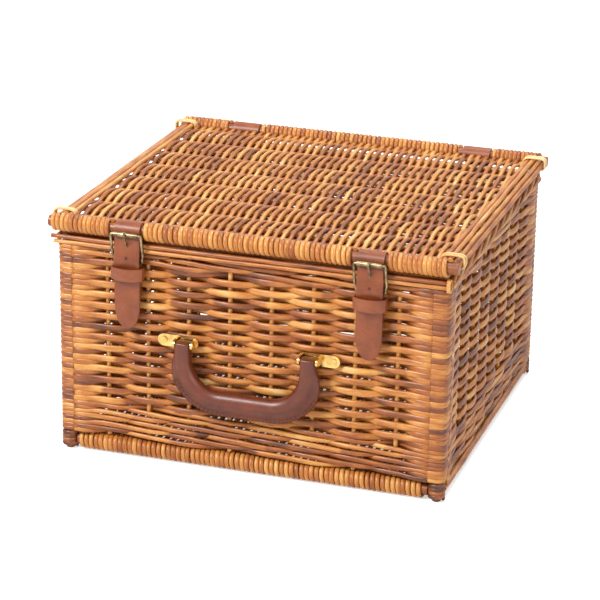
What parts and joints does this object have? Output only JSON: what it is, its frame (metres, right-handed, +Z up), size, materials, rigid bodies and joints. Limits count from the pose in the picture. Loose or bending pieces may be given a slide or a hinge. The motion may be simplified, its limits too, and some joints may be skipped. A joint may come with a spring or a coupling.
{
  "type": "picnic basket",
  "caption": "Rectangular picnic basket of woven willow with a hinged flat lid, leather straps with roller buckles and a swinging leather carrying handle on the front.",
  "frame": {"origin": "on the ground under the middle of the basket's overall box, lid closed", "axes": "+Z up, -Y towards the front with the straps and the handle, +X to the right for someone facing the front"},
  "size_m": [0.4188, 0.3948, 0.2504],
  "materials": {
    "willow_brown": "varnished satin",
    "willow_rods": "varnished satin",
    "willow_pale": "satin",
    "strap_leather": "worn satin",
    "handle_leather": "worn satin",
    "core_cord": "matte",
    "antique_brass": "aged",
    "bright_brass": "polished"
  },
  "bodies": {
    "basket": {"corner_turns": "willow_brown", "front_weave": "willow_brown", "back_weave": "willow_brown", "right_weave": "willow_brown", "left_weave": "willow_brown", "base_front_winding": "willow_brown", "base_back_winding": "willow_brown", "base_weave": "willow_brown", "corner_posts": "willow_rods", "front_stakes": "willow_rods", "back_stakes": "willow_rods", "right_stakes": "willow_rods", "left_stakes": "willow_rods", "border_rods": "willow_rods", "base_sticks": "willow_rods", "base_cross_rods": "willow_rods", "base_side_rods": "willow_rods", "border_knot": "willow_pale", "hinge_loop_left": "strap_leather", "hinge_loop_right": "strap_leather", "chape_left": "strap_leather", "chape_right": "strap_leather", "keeper_left": "strap_leather", "keeper_right": "strap_leather", "hinge_rivets": "antique_brass", "chape_rivets": "antique_brass", "handle_bracket_left": "bright_brass", "handle_bracket_right": "bright_brass", "handle_pins": "bright_brass", "bracket_rivets": "bright_brass"},
    "lid": {"lid_front_winding": "willow_brown", "lid_back_winding": "willow_brown", "lid_weave": "willow_brown", "lid_front_stick": "willow_rods", "lid_back_stick": "willow_rods", "lid_cross_rods": "willow_rods", "lid_side_rods": "willow_rods", "lid_corner_ties": "willow_pale"},
    "strap_left": {"strap_loop_left": "strap_leather", "strap_tail_left": "strap_leather"},
    "strap_right": {"strap_loop_right": "strap_leather", "strap_tail_right": "strap_leather"},
    "buckle_left": {"buckle_frame_left": "antique_brass"},
    "buckle_right": {"buckle_frame_right": "antique_brass"},
    "roller_left": {"buckle_roller_left": "antique_brass"},
    "roller_right": {"buckle_roller_right": "antique_brass"},
    "prong_left": {"prong_left": "antique_brass"},
    "prong_right": {"prong_right": "antique_brass"},
    "handle": {"handle_cover": "handle_leather", "handle_core": "core_cord"}
  },
  "joints": [
    {"name": "lid_hinge", "type": "hinge", "parent": "basket", "child": "lid", "pos_m": [0, 0.18812, 0.2409], "axis": [-1, 0, 0], "range_deg": [0, 110], "deforming": ["strap_tail_left", "strap_tail_right"]},
    {"name": "strap_left_swing", "type": "hinge", "parent": "lid", "child": "strap_left", "pos_m": [-0.123, -0.17947, 0.2409], "axis": [-1, 0, 0], "range_deg": [-77, 0]},
    {"name": "buckle_left_swing", "type": "hinge", "parent": "basket", "child": "buckle_left", "pos_m": [-0.123, -0.18347, 0.2095], "axis": [1, 0, 0], "range_deg": [0, 50]},
    {"name": "prong_left_swing", "type": "hinge", "parent": "buckle_left", "child": "prong_left", "pos_m": [-0.123, -0.18347, 0.2095], "axis": [1, 0, 0], "range_deg": [0, 40]},
    {"name": "roller_left_turn", "type": "hinge", "parent": "buckle_left", "child": "roller_left", "pos_m": [-0.123, -0.19057, 0.239], "axis": [1, 0, 0], "continuous": true},
    {"name": "strap_right_swing", "type": "hinge", "parent": "lid", "child": "strap_right", "pos_m": [0.123, -0.17947, 0.2409], "axis": [-1, 0, 0], "range_deg": [-77, 0]},
    {"name": "buckle_right_swing", "type": "hinge", "parent": "basket", "child": "buckle_right", "pos_m": [0.123, -0.18347, 0.2095], "axis": [1, 0, 0], "range_deg": [0, 50]},
    {"name": "prong_right_swing", "type": "hinge", "parent": "buckle_right", "child": "prong_right", "pos_m": [0.123, -0.18347, 0.2095], "axis": [1, 0, 0], "range_deg": [0, 40]},
    {"name": "roller_right_turn", "type": "hinge", "parent": "buckle_right", "child": "roller_right", "pos_m": [0.123, -0.19057, 0.239], "axis": [1, 0, 0], "continuous": true},
    {"name": "handle_swing", "type": "hinge", "parent": "basket", "child": "handle", "pos_m": [0, -0.18918, 0.1325], "axis": [-1, 0, 0], "range_deg": [0, 165]}
  ],
  "couplings": [
    {"joint": "strap_left_swing", "follows": "lid_hinge", "ratio": -0.7},
    {"joint": "strap_right_swing", "follows": "lid_hinge", "ratio": -0.7}
  ]
}
